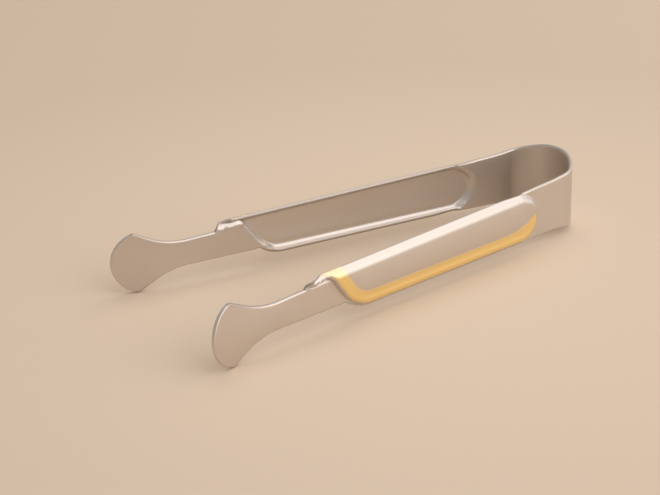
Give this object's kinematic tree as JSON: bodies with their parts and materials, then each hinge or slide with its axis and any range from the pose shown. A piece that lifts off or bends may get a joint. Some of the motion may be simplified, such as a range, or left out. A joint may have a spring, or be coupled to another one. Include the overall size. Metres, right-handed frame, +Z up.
{
  "type": "sugar tongs",
  "caption": "Sprung tongs bent from one steel strip, with pressed grip panels, a gilt border on each panel and flat fan-shaped claws.",
  "frame": {"origin": "middle of the bounding box in plan, on the plane of the bow's lower edge", "axes": "+X along the tongs from the claws to the bow, +Y across from the left arm to the right arm, +Z up along the width of the strip"},
  "size_m": [0.105, 0.0456, 0.0169],
  "materials": {
    "steel": "satin stainless steel, fine grain",
    "gilt": "satin gold plating"
  },
  "bodies": {
    "bow": {"spring_bow": "steel"},
    "right_arm": {"shoulder_right": "steel", "grip_panel_right": "steel", "gilt_border_right": "gilt", "claw_right": "steel"},
    "left_arm": {"shoulder_left": "steel", "grip_panel_left": "steel", "gilt_border_left": "gilt", "claw_left": "steel"}
  },
  "joints": [
    {"name": "right_flex", "type": "hinge", "parent": "bow", "child": "right_arm", "pos_m": [0.04545, 0.00977, 0.00845], "axis": [0, 0, 1], "range_deg": [-4, 12.3], "stiffness_Nm_per_rad": 1},
    {"name": "left_flex", "type": "hinge", "parent": "bow", "child": "left_arm", "pos_m": [0.04545, -0.00977, 0.00845], "axis": [0, 0, -1], "range_deg": [-4, 12.3], "stiffness_Nm_per_rad": 1}
  ],
  "couplings": [
    {"joint": "left_flex", "follows": "right_flex", "ratio": 1}
  ]
}
